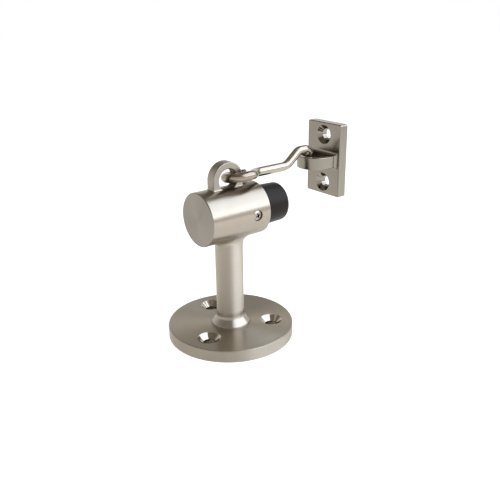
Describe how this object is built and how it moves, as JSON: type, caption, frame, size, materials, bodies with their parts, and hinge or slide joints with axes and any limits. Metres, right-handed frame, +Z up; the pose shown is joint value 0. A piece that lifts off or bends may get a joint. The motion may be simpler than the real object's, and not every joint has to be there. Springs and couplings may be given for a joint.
{
  "type": "floor door stop",
  "caption": "Post-mounted floor door stop with a rubber bumper in a horizontal barrel, and a swinging hook that holds the door by a D-shaped keeper plate.",
  "frame": {"origin": "centre of the base plate's underside, on the floor", "axes": "+Z up from the floor along the post; +X along the barrel from its plain end to the bumper, towards the door and its keeper; +Y to the left when looking along +X"},
  "size_m": [0.1044, 0.0666, 0.1051],
  "materials": {
    "satin_nickel": "satin nickel plate on brass",
    "bright_nickel": "nickel plate on steel",
    "plain_steel": "zinc plated",
    "black_rubber": "matt moulded"
  },
  "bodies": {
    "stop": {"base_plate": "satin_nickel", "base_screw": "plain_steel", "stand": "satin_nickel", "rubber_bumper": "black_rubber", "bumper_screw": "bright_nickel", "keeper": "satin_nickel"},
    "hook": {"hook": "satin_nickel"}
  },
  "joints": [
    {"name": "hook_swing", "type": "hinge", "parent": "stop", "child": "hook", "pos_m": [-0.0012, 0, 0.0852], "axis": [0, -1, 0], "range_deg": [0, 180]}
  ]
}
